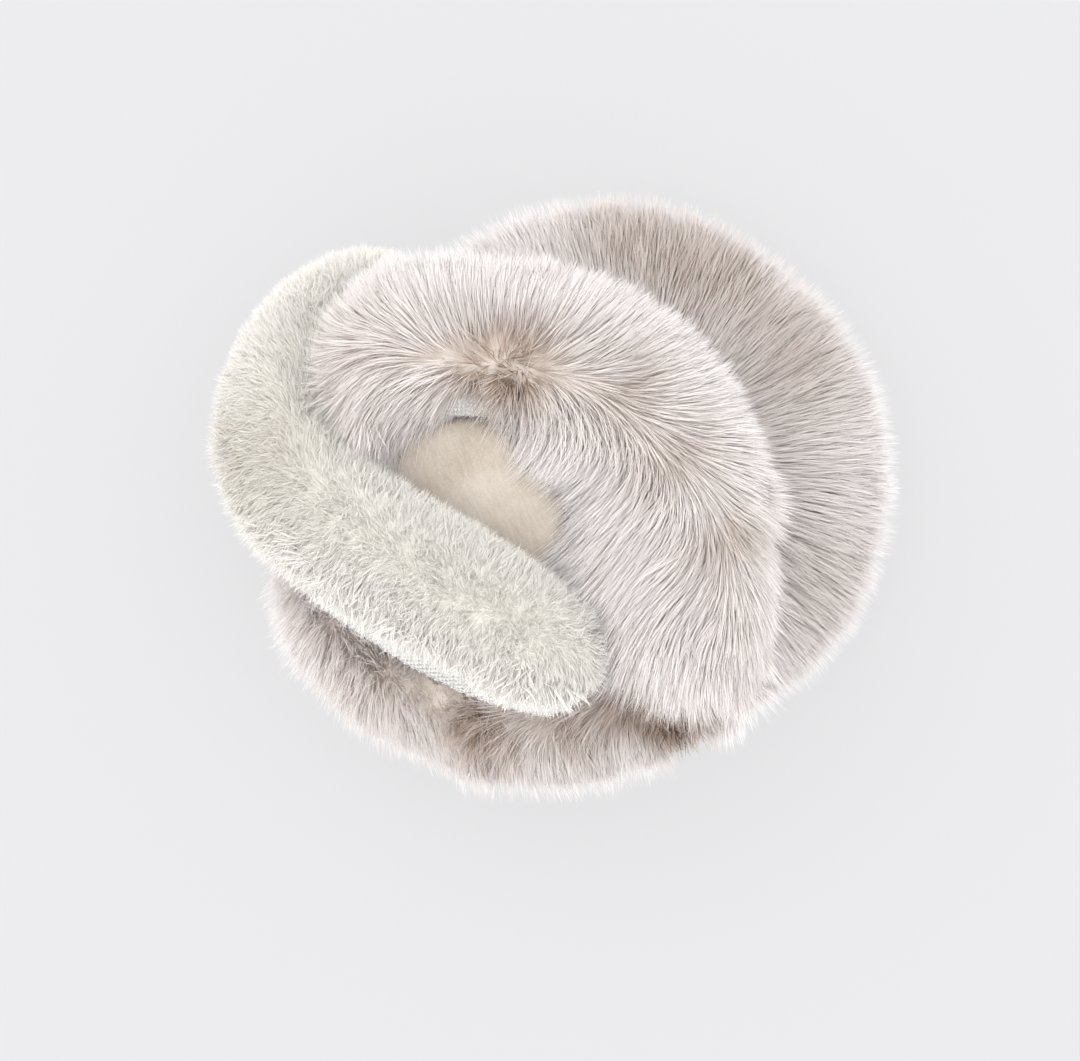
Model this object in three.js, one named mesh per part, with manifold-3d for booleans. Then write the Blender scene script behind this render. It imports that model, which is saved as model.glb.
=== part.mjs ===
// Fur earmuffs, folded and lying on a flat surface, seen here in millimetres with +Z up.
// Two round ear cups lie one partly on the other. The back cup has its ear side down on the surface. The front
// cup lies on it with its ear side up, tilted, and sags over its edge. A plush headband leaves the back cup's
// left edge, stands round the front cup's left side, crosses its face and ends under the fur of its right side.
// Deep fur is modelled as locks: every cell of a soft form's skin is drawn out to one leaning tip.

import * as THREE from "three";
import { mergeVertices } from "three/addons/utils/BufferGeometryUtils.js";
import Module from "manifold-3d";

const wasm = await Module();
wasm.setup();

// Driving dimensions: lengths in millimetres, angles in degrees

const CUP_RADIUS = 70; // from a cup's middle to the tips of its fur
const CUP_THICKNESS = 46; // from a cup's outer side to the crest of its fur ring
const RECESS_RADIUS = 27.5; // of the ear recess, at its bottom
const RECESS_DEPTH = 19; // from the crest of the ring to the bottom of the recess
const LINING_THICKNESS = 5; // of the padded disc in the recess, at its rim
const LINING_CROWN = 2; // how much higher its middle is
const KNIT_THICKNESS = 1.4; // of the knit edge and of the band's knit backing
const KNIT_EDGE_WIDTH = 4.5; // of the strip that climbs from the lining's rim up the ring
const KNIT_EDGE_SLOPE = 0.75; // how steeply it climbs: rise over run
const KNIT_EDGE_FOOT = 0.8; // where it starts, as a share of the lining's thickness
const LOCK_LENGTH = 7; // of a lock of long fur
const PLUSH_LENGTH = 4; // of a tuft of the band's shorter pile
const BAND_WIDTH = 42; // across the headband's pile
const BAND_THICKNESS = 23; // through it
const BACKING_WIDTH = 34; // of the knit on the band's inner face
const BACKING_SHIFT = 6.5; // of that knit's middle towards the band's outer edge
const BACKING_BARE = 0.04; // of the band's length, left without knit at each end
const CLEARANCE = 0.4; // between neighbouring pieces
const SEAT_PRESS = 2.2; // how far the weight flattens the back cup on the surface

const FRONT_CUP_TILT = 15; // of the front cup, from level
const TILT_TOWARDS = 209; // the azimuth of its low side
const FRONT_CUP_HEIGHT = 27; // of its outer side's middle, above the surface
const SAG_START = 10; // from the front cup's middle towards its low side, where it begins to sag
const SAG = 13; // at the low side's rim
const FRONT_CUP_PLACE = { x: -10.4, y: -6.9 }; // from the middle of the folded pair
const BACK_CUP_PLACE = { x: 17.6, y: 7.1 };
const RECESS_SHIFT = { x: -14, y: 0 }; // of the front recess, which the tilt pushes to the low side

// Numbers of cells

const CUP_CELLS = 36; // round a cup
const BAND_STATIONS = 25; // along the band
const BAND_CELLS = 14; // round its section
const DISC_CELLS = 32; // round a lining or a knit edge
const BACKING_STATIONS = 34; // along the knit backing

const LOCK_RISE = 0.62; // how far a tip stands off the skin, as a share of its lock's length
const LOCK_LEAN = 0.62; // how far it leans along the flow
const LOCK_STAGGER = 0.16; // how far neighbouring tips step aside, as a share of a cell
const TUFT_LEAN = -0.5; // the flow of the band's tufts, back towards its tucked end
const BAND_END_SHARE = 0.8; // of the band's section, at its blunt ends
const WELD = 1e-4; // points nearer than this are one
const MITRE_LIMIT = 0.5; // the least cosine that a moved face's sharp corners are drawn out for

const UP = new THREE.Vector3(0, 0, 1);

// The front cup's outline and crest, round its middle. reach is the outline and crest the highest line of the
// ring, as shares of CUP_RADIUS. lift raises or lowers the ring's top, as a share of CUP_THICKNESS. The right
// lobe ends at the crease near 314 degrees, where it lies over the lower arc.
const FRONT_RING = [
  { azimuth: 0, reach: 0.97, crest: 0.66, lift: 0.05 },
  { azimuth: 30, reach: 0.95, crest: 0.58, lift: 0.02 },
  { azimuth: 60, reach: 0.97, crest: 0.57, lift: 0.0 },
  { azimuth: 92, reach: 1.0, crest: 0.61, lift: 0.0 },
  { azimuth: 124, reach: 1.14, crest: 0.74, lift: 0.06 },
  { azimuth: 146, reach: 0.98, crest: 0.72, lift: 0.02 },
  { azimuth: 168, reach: 0.92, crest: 0.66, lift: -0.14 },
  { azimuth: 196, reach: 1.0, crest: 0.7, lift: -0.16 },
  { azimuth: 230, reach: 1.0, crest: 0.72, lift: -0.14 },
  { azimuth: 268, reach: 1.0, crest: 0.73, lift: -0.16 },
  { azimuth: 290, reach: 1.04, crest: 0.74, lift: -0.19 },
  { azimuth: 310, reach: 1.09, crest: 0.75, lift: -0.25 },
  { azimuth: 319, reach: 1.15, crest: 0.74, lift: 0.1 },
  { azimuth: 338, reach: 1.06, crest: 0.72, lift: 0.08 },
];

// The back cup's outline and crest, round its middle.
const BACK_RING = [
  { azimuth: 0, reach: 0.985, crest: 0.64, lift: 0 },
  { azimuth: 55, reach: 0.945, crest: 0.64, lift: 0 },
  { azimuth: 95, reach: 1.02, crest: 0.64, lift: 0 },
  { azimuth: 125, reach: 1.07, crest: 0.64, lift: 0 },
  { azimuth: 200, reach: 0.96, crest: 0.64, lift: 0 },
  { azimuth: 260, reach: 0.97, crest: 0.64, lift: 0 },
  { azimuth: 315, reach: 1.04, crest: 0.64, lift: 0 },
];

// A cup's section from the middle of its outer side round the rim and over the crest to the recess. reach is a
// share of the way from the middle to the outline, or with inward set, the share of the way from the crest to
// the recess's edge. height is a share of CUP_THICKNESS, and where depth is set, of RECESS_DEPTH below the
// crest. lock is a share of LOCK_LENGTH, and flow is 1 where the fur lies towards the next row.
const FRONT_SECTION = [
  { reach: 0.0, height: 0.03, lock: 0, flow: 0 },
  { reach: 0.45, height: 0.03, lock: 0, flow: 0 },
  { reach: 0.7, height: 0.1, lock: 0.25, flow: -1 },
  { reach: 0.86, height: 0.22, lock: 0.7, flow: -1 },
  { reach: 0.96, height: 0.38, lock: 0.9, flow: -1 },
  { reach: 1.0, height: 0.56, lock: 1, flow: -1 },
  { reach: 0.975, height: 0.73, lock: 1, flow: -1 },
  { reach: 0.91, height: 0.87, lock: 1, flow: -1 },
  { reach: 0.81, height: 0.96, lock: 1, flow: -1 },
  { inward: 0.0, height: 1.0, lock: 1, flow: 1 },
  { inward: 0.28, depth: 0.06, lock: 1, flow: 1 },
  { inward: 0.52, depth: 0.24, lock: 0.7, flow: 0.7 },
  { inward: 0.74, depth: 0.5, lock: 0, flow: 0 },
  { inward: 0.92, depth: 0.78, lock: 0, flow: 0 },
  { inward: 1.0, depth: 1, lock: 0, flow: 0 },
  { inward: 1.4, depth: 1, lock: 0, flow: 0 },
];

const BACK_SECTION = [
  { reach: 0.0, height: 0.0, lock: 0, flow: 0 },
  { reach: 0.22, height: 0.01, lock: 0.6, flow: 1 },
  { reach: 0.38, height: 0.035, lock: 0.8, flow: 1 },
  { reach: 0.53, height: 0.08, lock: 1, flow: 1 },
  { reach: 0.67, height: 0.15, lock: 1, flow: 1 },
  { reach: 0.8, height: 0.25, lock: 1, flow: 1 },
  { reach: 0.91, height: 0.385, lock: 1, flow: 1 },
  { reach: 0.985, height: 0.54, lock: 0.9, flow: 1 },
  { reach: 1.0, height: 0.7, lock: 0.7, flow: 1 },
  { reach: 0.95, height: 0.84, lock: 0.3, flow: 1 },
  { reach: 0.86, height: 0.94, lock: 0, flow: 0 },
  { reach: 0.75, height: 0.99, lock: 0, flow: 0 },
  { inward: 0.0, height: 1.0, lock: 0, flow: 0 },
  { inward: 0.4, depth: 0.04, lock: 0, flow: 0 },
  { inward: 0.72, depth: 0.35, lock: 0, flow: 0 },
  { inward: 0.92, depth: 0.75, lock: 0, flow: 0 },
  { inward: 1.0, depth: 1, lock: 0, flow: 0 },
  { inward: 1.4, depth: 1, lock: 0, flow: 0 },
];

// A lining's section from its under side over its rim to its upper side. reach is a share of its radius, height
// of LINING_THICKNESS and crown of LINING_CROWN.
const LINING_SECTION = [
  { reach: 0.93, height: 0, crown: 0 },
  { reach: 1.0, height: 0.35, crown: 0 },
  { reach: 0.985, height: 0.75, crown: 0 },
  { reach: 0.9, height: 1, crown: 0.1 },
  { reach: 0.55, height: 1, crown: 0.75 },
];

// The headband's middle line from its tucked end to the back cup. x and y are shares of CUP_RADIUS from the
// front cup's middle, and over is its height over the front cup's tilted base as a share of CUP_THICKNESS.
// roll turns its outer edge down, and width and thickness are shares of the band's own.
const BAND_PATH = [
  { x: 0.3, y: -0.43, over: 0.84, roll: -2, width: 0.58, thickness: 0.7 },
  { x: 0.2, y: -0.445, over: 0.91, roll: 0, width: 0.7, thickness: 0.85 },
  { x: 0.1, y: -0.425, over: 0.96, roll: 1, width: 0.82, thickness: 0.95 },
  { x: -0.07, y: -0.33, over: 0.99, roll: 2, width: 0.94, thickness: 1.0 },
  { x: -0.25, y: -0.22, over: 1.0, roll: 4, width: 1.0, thickness: 1.0 },
  { x: -0.55, y: -0.04, over: 0.98, roll: 10, width: 1.0, thickness: 1.0 },
  { x: -0.775, y: 0.165, over: 0.86, roll: 28, width: 0.98, thickness: 1.0 },
  { x: -0.87, y: 0.41, over: 0.56, roll: 55, width: 0.93, thickness: 1.0 },
  { x: -0.81, y: 0.66, over: 0.2, roll: 78, width: 0.9, thickness: 0.95 },
  { x: -0.63, y: 0.83, over: -0.02, roll: 88, width: 0.86, thickness: 0.85 },
  { x: -0.4, y: 0.86, over: -0.1, roll: 90, width: 0.82, thickness: 0.75 },
];

// The band's section, from its outer edge over its pile side to its inner edge and back. across is a share of
// half the width and out a share of the thickness, where 0 is the knit side. lock is a share of PLUSH_LENGTH.
const BAND_SECTION_POWER = 2.5; // 2 is an ellipse, and more is squarer
const BAND_PILE_SHARE = 0.7; // of the thickness, on the pile side of the widest line
const BAND_PILE_FROM = -0.25; // the sine of the section's angle from which tufts grow

// Radians of an angle in degrees.
function radians(degrees) {
  return (degrees * Math.PI) / 180;
}

// A smooth value of one column of a table whose rows go round by azimuth.
function valueRound(table, column, azimuth) {
  const turn = ((azimuth % 360) + 360) % 360;
  let index = table.length - 1;
  while (index > 0 && table[index].azimuth > turn) index -= 1;
  const row = table[index];
  const next = table[(index + 1) % table.length];
  const span = (next.azimuth - row.azimuth + 360) % 360;
  const share = THREE.MathUtils.smoothstep((turn - row.azimuth) / span, 0, 1);
  return THREE.MathUtils.lerp(row[column], next[column], share);
}

// A value of one column of a table, at a place counted in rows.
function valueAlong(table, column, place) {
  const index = Math.min(Math.floor(place), table.length - 2);
  const share = THREE.MathUtils.smoothstep(place - index, 0, 1);
  return THREE.MathUtils.lerp(table[index][column], table[index + 1][column], share);
}

// The height of the front cup's outer side over the surface: a tilted plane that sags at its low side.
function frontBase(x, y) {
  const towards = radians(TILT_TOWARDS);
  const down = (x - FRONT_CUP_PLACE.x) * Math.cos(towards) + (y - FRONT_CUP_PLACE.y) * Math.sin(towards);
  const past = Math.max(0, down - SAG_START) / (CUP_RADIUS - SAG_START);
  return FRONT_CUP_HEIGHT - Math.tan(radians(FRONT_CUP_TILT)) * down - SAG * past * past;
}

// Signed volume of a triangle list, which is positive where its faces point out.
function signedVolume(points, faces) {
  let sum = 0;
  for (const [a, b, c] of faces) {
    sum += points[a].dot(points[b].clone().cross(points[c]));
  }
  return sum / 6;
}

// A closed geometry from points and triangles, turned to face out.
function closedGeometry(points, faces) {
  const outward = signedVolume(points, faces) > 0;
  const corners = faces.flatMap(([a, b, c]) => (outward ? [a, b, c] : [a, c, b]));
  const geometry = new THREE.BufferGeometry();
  geometry.setAttribute("position", new THREE.Float32BufferAttribute(points.flatMap((p) => [...p]), 3));
  geometry.setIndex(corners);
  return geometry;
}

// A closed skin over rings of points. Each cell between two rings is drawn out to a tip, and a point closes
// each end. lockAt gives a cell's lock length and its flow, 1 towards the next ring and -1 back.
function lockedSkin(rings, firstPoint, lastPoint, lockAt) {
  const count = rings[0].length;
  const points = rings.flat();
  const faces = [];
  const order = signOfSkin(rings, firstPoint, lastPoint);
  for (let i = 0; i + 1 < rings.length; i += 1) {
    for (let j = 0; j < count; j += 1) {
      const k = (j + 1) % count;
      const corners = [i * count + j, i * count + k, (i + 1) * count + k, (i + 1) * count + j];
      const [a, b, c, d] = corners.map((index) => points[index]);
      const along = c.clone().add(d).sub(a).sub(b).normalize();
      const side = b.clone().add(c).sub(a).sub(d);
      const out = side.clone().cross(along).normalize().multiplyScalar(order);
      const lock = lockAt(i, j);
      const stagger = lock.length > 0 ? LOCK_STAGGER * ((i + j) % 2 === 0 ? 0.5 : -0.5) : 0;
      const tip = a.clone().add(b).add(c).add(d).multiplyScalar(0.25);
      tip.addScaledVector(out, lock.length * LOCK_RISE);
      tip.addScaledVector(along, lock.length * LOCK_LEAN * lock.flow);
      tip.addScaledVector(side, stagger);
      points.push(tip);
      for (let n = 0; n < 4; n += 1) faces.push([corners[n], corners[(n + 1) % 4], points.length - 1]);
    }
  }
  const last = (rings.length - 1) * count;
  points.push(firstPoint, lastPoint);
  for (let j = 0; j < count; j += 1) {
    const k = (j + 1) % count;
    faces.push([k, j, points.length - 2]);
    faces.push([last + j, last + k, points.length - 1]);
  }
  return closedGeometry(points, faces);
}

// 1 where a ring's cells, taken in order, face out of the skin, and -1 where they face in.
function signOfSkin(rings, firstPoint, lastPoint) {
  const middle = firstPoint.clone().add(lastPoint).multiplyScalar(0.5);
  let sum = 0;
  for (let i = 0; i + 1 < rings.length; i += 1) {
    for (let j = 0; j < rings[i].length; j += 1) {
      const a = rings[i][j].clone().sub(middle);
      const b = rings[i][(j + 1) % rings[i].length].clone().sub(middle);
      const d = rings[i + 1][j].clone().sub(middle);
      sum += a.dot(b.cross(d));
    }
  }
  return Math.sign(sum);
}

// A geometry as a manifold-3d solid.
function solidOf(geometry) {
  const bare = geometry.clone();
  bare.deleteAttribute("normal");
  bare.deleteAttribute("uv");
  const merged = mergeVertices(bare, WELD);
  return new wasm.Manifold(
    new wasm.Mesh({
      numProp: 3,
      vertProperties: new Float32Array(merged.getAttribute("position").array),
      triVerts: new Uint32Array(merged.index.array),
    }),
  );
}

// The largest body of a solid, without the crumbs that a cut leaves.
function largestBody(solid) {
  const bodies = solid.decompose();
  bodies.sort((a, b) => b.volume() - a.volume());
  return bodies[0];
}

// A solid back as a geometry.
function geometryOf(solid) {
  const mesh = solid.getMesh();
  const geometry = new THREE.BufferGeometry();
  geometry.setAttribute("position", new THREE.Float32BufferAttribute(mesh.vertProperties, 3));
  geometry.setIndex([...mesh.triVerts]);
  return geometry;
}

// A geometry whose every face is moved out by amount, as the room that its neighbours leave for it. A point
// goes out along the mean of its faces' normals, further at a sharp edge.
function grown(geometry, amount) {
  const room = geometry.clone();
  const position = room.getAttribute("position");
  const points = Array.from({ length: position.count }, (_, i) =>
    new THREE.Vector3().fromBufferAttribute(position, i),
  );
  const normals = points.map(() => []);
  for (let i = 0; i < room.index.count; i += 3) {
    const corners = [0, 1, 2].map((n) => room.index.getX(i + n));
    const normal = new THREE.Triangle(...corners.map((corner) => points[corner])).getNormal(new THREE.Vector3());
    for (const corner of corners) normals[corner].push(normal);
  }
  points.forEach((point, i) => {
    const mean = normals[i].reduce((sum, normal) => sum.add(normal), new THREE.Vector3()).normalize();
    const least = Math.min(...normals[i].map((normal) => normal.dot(mean)));
    point.addScaledVector(mean, amount / Math.max(least, MITRE_LIMIT));
    position.setXYZ(i, point.x, point.y, point.z);
  });
  return room;
}

// A piece cut back where its neighbours press into it.
function cutBack(geometry, neighbours) {
  let solid = solidOf(geometry);
  for (const neighbour of neighbours) {
    solid = solid.subtract(solidOf(grown(neighbour, CLEARANCE)));
  }
  return geometryOf(largestBody(solid));
}

// One point of a cup's skin in plan, with its height over the cup's outer side.
function cupPoint(row, ring, recess, azimuth) {
  const skinRadius = CUP_RADIUS - LOCK_LENGTH * LOCK_RISE;
  const direction = new THREE.Vector2(Math.cos(radians(azimuth)), Math.sin(radians(azimuth)));
  const top = 1 + valueRound(ring, "lift", azimuth);
  if (row.inward === undefined) {
    const reach = row.reach * valueRound(ring, "reach", azimuth) * skinRadius;
    const raised = row.height * THREE.MathUtils.lerp(1, top, row.height);
    return { plan: direction.multiplyScalar(reach), height: raised * CUP_THICKNESS };
  }
  const crest = valueRound(ring, "crest", azimuth) * CUP_RADIUS;
  const share = Math.min(row.inward, 1);
  const within = Math.max(0, row.inward - 1);
  const radius = THREE.MathUtils.lerp(crest, RECESS_RADIUS, share) * (1 - within);
  const plan = direction.multiplyScalar(radius).addScaledVector(recess, share);
  const bottom = CUP_THICKNESS - RECESS_DEPTH;
  const height = THREE.MathUtils.lerp(top * CUP_THICKNESS, bottom, row.depth ?? 0);
  return { plan, height };
}

// A cup's skin. place sets a point of the section, given in plan from the cup's middle with its height, in
// space, and lockShare makes the locks shorter where the fur is pressed.
function cupGeometry(section, ring, recess, place, lockShare) {
  const rows = section.slice(1).map((row) =>
    Array.from({ length: CUP_CELLS }, (_, j) => {
      const { plan, height } = cupPoint(row, ring, recess, (j * 360) / CUP_CELLS);
      return place(plan, height);
    }),
  );
  const outerMiddle = place(new THREE.Vector2(), section[0].height * CUP_THICKNESS);
  const recessMiddle = place(recess.clone(), CUP_THICKNESS - RECESS_DEPTH);
  return lockedSkin(rows, outerMiddle, recessMiddle, (i, j) => {
    const row = section[i + 1];
    const length = LOCK_LENGTH * row.lock * lockShare(rows[i][j]);
    return { length, flow: row.flow };
  });
}

function placeInFront(plan, height) {
  const x = FRONT_CUP_PLACE.x + plan.x;
  const y = FRONT_CUP_PLACE.y + plan.y;
  return new THREE.Vector3(x, y, frontBase(x, y) + height);
}

// The back cup lies ear side down, and whatever would reach below the surface is flattened on it.
function placeInBack(plan, height) {
  const z = CUP_THICKNESS - SEAT_PRESS - height;
  return new THREE.Vector3(BACK_CUP_PLACE.x + plan.x, BACK_CUP_PLACE.y + plan.y, Math.max(0, z));
}

function frontCup() {
  const recess = new THREE.Vector2(RECESS_SHIFT.x, RECESS_SHIFT.y);
  return cupGeometry(FRONT_SECTION, FRONT_RING, recess, placeInFront, (point) =>
    THREE.MathUtils.smoothstep(point.z, LOCK_LENGTH / 2, LOCK_LENGTH * 2),
  );
}

function backCup() {
  return cupGeometry(BACK_SECTION, BACK_RING, new THREE.Vector2(), placeInBack, (point) =>
    THREE.MathUtils.smoothstep(point.z, LOCK_LENGTH / 2, LOCK_LENGTH * 2),
  );
}

// A crowned disc in a cup's recess, as rings from its under side over its rim to its upper side.
function liningGeometry(recess, place) {
  const floor = CUP_THICKNESS - RECESS_DEPTH + CLEARANCE;
  const rim = RECESS_RADIUS - CLEARANCE;
  const rings = LINING_SECTION.map((row) =>
    Array.from({ length: DISC_CELLS }, (_, j) => {
      const azimuth = radians((j * 360) / DISC_CELLS);
      const plan = new THREE.Vector2(Math.cos(azimuth), Math.sin(azimuth)).multiplyScalar(rim * row.reach);
      return place(plan.add(recess), floor + row.height * LINING_THICKNESS + row.crown * LINING_CROWN);
    }),
  );
  const under = place(recess.clone(), floor);
  const over = place(recess.clone(), floor + LINING_THICKNESS + LINING_CROWN);
  return lockedSkin(rings, under, over, () => ({ length: 0, flow: 0 }));
}

// The knit edge: a flat strip that climbs from beside the lining's rim up the inner side of the ring.
function knitEdgeGeometry(recess, place) {
  const inner = RECESS_RADIUS + CLEARANCE;
  const foot = CUP_THICKNESS - RECESS_DEPTH + LINING_THICKNESS * KNIT_EDGE_FOOT;
  const climb = KNIT_EDGE_WIDTH * KNIT_EDGE_SLOPE;
  const rows = [
    { out: 0, height: 0 },
    { out: KNIT_EDGE_WIDTH, height: climb },
    { out: KNIT_EDGE_WIDTH, height: climb + KNIT_THICKNESS },
    { out: 0, height: KNIT_THICKNESS },
  ];
  const points = rows.flatMap((row) =>
    Array.from({ length: DISC_CELLS }, (_, j) => {
      const azimuth = radians((j * 360) / DISC_CELLS);
      const plan = new THREE.Vector2(Math.cos(azimuth), Math.sin(azimuth)).multiplyScalar(inner + row.out);
      return place(plan.add(recess), foot + row.height);
    }),
  );
  const faces = [];
  for (let i = 0; i < rows.length; i += 1) {
    const next = (i + 1) % rows.length;
    for (let j = 0; j < DISC_CELLS; j += 1) {
      const k = (j + 1) % DISC_CELLS;
      const [a, b] = [i * DISC_CELLS + j, i * DISC_CELLS + k];
      const [c, d] = [next * DISC_CELLS + k, next * DISC_CELLS + j];
      faces.push([a, b, c], [a, c, d]);
    }
  }
  return closedGeometry(points, faces);
}

const bandPoints = BAND_PATH.map((row) => {
  const x = FRONT_CUP_PLACE.x + row.x * CUP_RADIUS;
  const y = FRONT_CUP_PLACE.y + row.y * CUP_RADIUS;
  return new THREE.Vector3(x, y, frontBase(x, y) + row.over * CUP_THICKNESS);
});
const bandCurve = new THREE.CatmullRomCurve3(bandPoints, false, "centripetal");

// The band's section plane at a share of its length: its middle, its direction, the way to its outer edge
// and the way out of its pile side.
function bandFrame(share) {
  const t = bandCurve.getUtoTmapping(share);
  const along = bandCurve.getTangent(t);
  const left = UP.clone().cross(along).normalize();
  const over = along.clone().cross(left).normalize();
  const place = t * (BAND_PATH.length - 1);
  const roll = radians(valueAlong(BAND_PATH, "roll", place));
  return {
    middle: bandCurve.getPoint(t),
    along,
    outer: left.clone().multiplyScalar(Math.cos(roll)).addScaledVector(over, -Math.sin(roll)),
    pile: over.clone().multiplyScalar(Math.cos(roll)).addScaledVector(left, Math.sin(roll)),
    width: valueAlong(BAND_PATH, "width", place),
    thickness: valueAlong(BAND_PATH, "thickness", place),
  };
}

// A point of a section plane, held off the surface that the earmuffs lie on.
function bandPoint(frame, across, out) {
  const point = frame.middle.clone();
  point.addScaledVector(frame.outer, across);
  point.addScaledVector(frame.pile, out);
  point.z = Math.max(0, point.z);
  return point;
}

// The band's plush: a rounded section swept along the path, with blunt ends.
function bandGeometry() {
  const halfWidth = BAND_WIDTH / 2 - PLUSH_LENGTH * LOCK_RISE;
  const power = 2 / BAND_SECTION_POWER;
  const rings = Array.from({ length: BAND_STATIONS }, (_, i) => {
    const frame = bandFrame(i / (BAND_STATIONS - 1));
    const blunt = i === 0 || i === BAND_STATIONS - 1 ? BAND_END_SHARE : 1;
    return Array.from({ length: BAND_CELLS }, (_, j) => {
      const angle = (j * 2 * Math.PI) / BAND_CELLS;
      const [c, s] = [Math.cos(angle), Math.sin(angle)];
      const side = s > 0 ? BAND_PILE_SHARE : 1 - BAND_PILE_SHARE;
      const across = Math.sign(c) * Math.abs(c) ** power * halfWidth * frame.width * blunt;
      const out = Math.sign(s) * Math.abs(s) ** power * side * (BAND_THICKNESS - PLUSH_LENGTH * LOCK_RISE);
      return bandPoint(frame, across, out * frame.thickness * blunt);
    });
  });
  const ends = [0, 1].map((share) => {
    const frame = bandFrame(share);
    const bulge = PLUSH_LENGTH * LOCK_RISE * (share === 0 ? -1 : 1);
    return bandPoint(frame, 0, 0).addScaledVector(frame.along, bulge);
  });
  return lockedSkin(rings, ends[0], ends[1], (i, j) => {
    const pileSide = Math.sin(((j + 0.5) * 2 * Math.PI) / BAND_CELLS) > BAND_PILE_FROM;
    const low = THREE.MathUtils.smoothstep(rings[i][j].z, PLUSH_LENGTH / 2, PLUSH_LENGTH * 2);
    return { length: pileSide ? PLUSH_LENGTH * low : 0, flow: TUFT_LEAN };
  });
}

// The knit on the band's inner face: a flat strip that follows the path.
function backingGeometry() {
  const half = BACKING_WIDTH / 2;
  const knitFace = -(1 - BAND_PILE_SHARE) * BAND_THICKNESS - CLEARANCE;
  const corners = [
    { across: half, out: 0 },
    { across: -half, out: 0 },
    { across: -half, out: -KNIT_THICKNESS },
    { across: half, out: -KNIT_THICKNESS },
  ];
  const rings = Array.from({ length: BACKING_STATIONS }, (_, i) => {
    const share = i / (BACKING_STATIONS - 1);
    const frame = bandFrame(THREE.MathUtils.lerp(BACKING_BARE, 1 - BACKING_BARE, share));
    return corners.map((corner) =>
      bandPoint(
        frame,
        corner.across * frame.width + BACKING_SHIFT * frame.width,
        knitFace * frame.thickness + corner.out,
      ),
    );
  });
  const points = rings.flat();
  const faces = [];
  for (let i = 0; i + 1 < rings.length; i += 1) {
    for (let j = 0; j < 4; j += 1) {
      const k = (j + 1) % 4;
      faces.push([4 * i + j, 4 * i + k, 4 * i + 4 + k], [4 * i + j, 4 * i + 4 + k, 4 * i + 4 + j]);
    }
  }
  const last = points.length - 4;
  faces.push([0, 2, 1], [0, 3, 2], [last, last + 1, last + 2], [last, last + 2, last + 3]);
  return closedGeometry(points, faces);
}

// A named mesh with its own material.
function piece(name, geometry, colour, roughness) {
  const material = new THREE.MeshStandardMaterial({ color: colour, roughness, metalness: 0 });
  const mesh = new THREE.Mesh(geometry, material);
  mesh.name = name;
  return mesh;
}

const frontRecess = new THREE.Vector2(RECESS_SHIFT.x, RECESS_SHIFT.y);
const band = bandGeometry();
const backing = cutBack(backingGeometry(), [band]);
const lining = liningGeometry(frontRecess, placeInFront);
const knitEdge = knitEdgeGeometry(frontRecess, placeInFront);
const frontLining = cutBack(lining, [band, backing]);
const frontKnitEdge = cutBack(knitEdge, [band, backing, lining]);
const frontFur = cutBack(frontCup(), [band, backing, lining, knitEdge]);
const backLining = liningGeometry(new THREE.Vector2(), placeInBack);
const backFur = cutBack(backCup(), [band, backing, frontFur, backLining]);

const earmuffs = new THREE.Group();
earmuffs.add(
  piece("front_cup_fur", frontFur, 0xe0d5cb, 0.95),
  piece("front_cup_lining", frontLining, 0xe9dccb, 0.9),
  piece("front_cup_knit_edge", frontKnitEdge, 0xf4f3f1, 0.9),
  piece("back_cup_fur", backFur, 0xd8cec4, 0.95),
  piece("back_cup_lining", backLining, 0xe9dccb, 0.9),
  piece("headband_fur", band, 0xece7da, 0.95),
  piece("headband_knit_backing", backing, 0xf4f3f1, 0.9),
);

// The origin is the middle of the folded pair's box, on the surface that it lies on.
const box = new THREE.Box3().setFromObject(earmuffs);
const middle = box.getCenter(new THREE.Vector3());
earmuffs.position.set(-middle.x, -middle.y, -box.min.z);

export default earmuffs;
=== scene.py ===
# %% [markdown]
# Fur earmuffs, folded and lying flat. The imported model gives every soft form its size and place. This
# lesson dresses them: each form gets a plump fabric skin made from its own solid, and then a coat of real
# strands, set out and combed by Geometry Nodes. The first cell loads the frame. Fur may stand only a
# little outside it.

# %% Frame
import math

import bmesh
import bpy
import numpy as np
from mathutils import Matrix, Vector
from mathutils.bvhtree import BVHTree


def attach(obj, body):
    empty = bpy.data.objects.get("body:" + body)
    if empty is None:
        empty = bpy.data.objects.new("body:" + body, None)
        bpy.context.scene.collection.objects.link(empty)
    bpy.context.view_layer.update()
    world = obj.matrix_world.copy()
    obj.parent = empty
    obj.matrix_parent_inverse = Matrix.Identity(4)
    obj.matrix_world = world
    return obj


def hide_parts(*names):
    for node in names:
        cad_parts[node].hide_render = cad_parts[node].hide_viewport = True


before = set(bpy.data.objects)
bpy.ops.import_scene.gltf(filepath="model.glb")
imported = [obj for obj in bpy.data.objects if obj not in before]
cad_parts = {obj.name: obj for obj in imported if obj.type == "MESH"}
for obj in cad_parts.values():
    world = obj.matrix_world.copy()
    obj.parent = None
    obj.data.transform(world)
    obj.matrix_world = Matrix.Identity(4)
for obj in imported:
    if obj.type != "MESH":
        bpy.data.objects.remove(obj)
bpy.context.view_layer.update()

MM = 0.001
scene = bpy.context.scene

# %% [markdown]
# The camera looks straight down, as for a product picture of things laid on a table. A long lens from well
# above keeps the high parts from looking larger than the low ones. Its lens follows from the width of the
# view, so that the object fills the frame as it should.

# %% Camera
VIEW_WIDTH = 0.2749
VIEW_HEIGHT_ABOVE_FLOOR = 0.045
CAMERA_HEIGHT = 1.6
CAMERA_PLACE = (-0.0038, -0.0085)
SENSOR = 36.0

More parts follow.
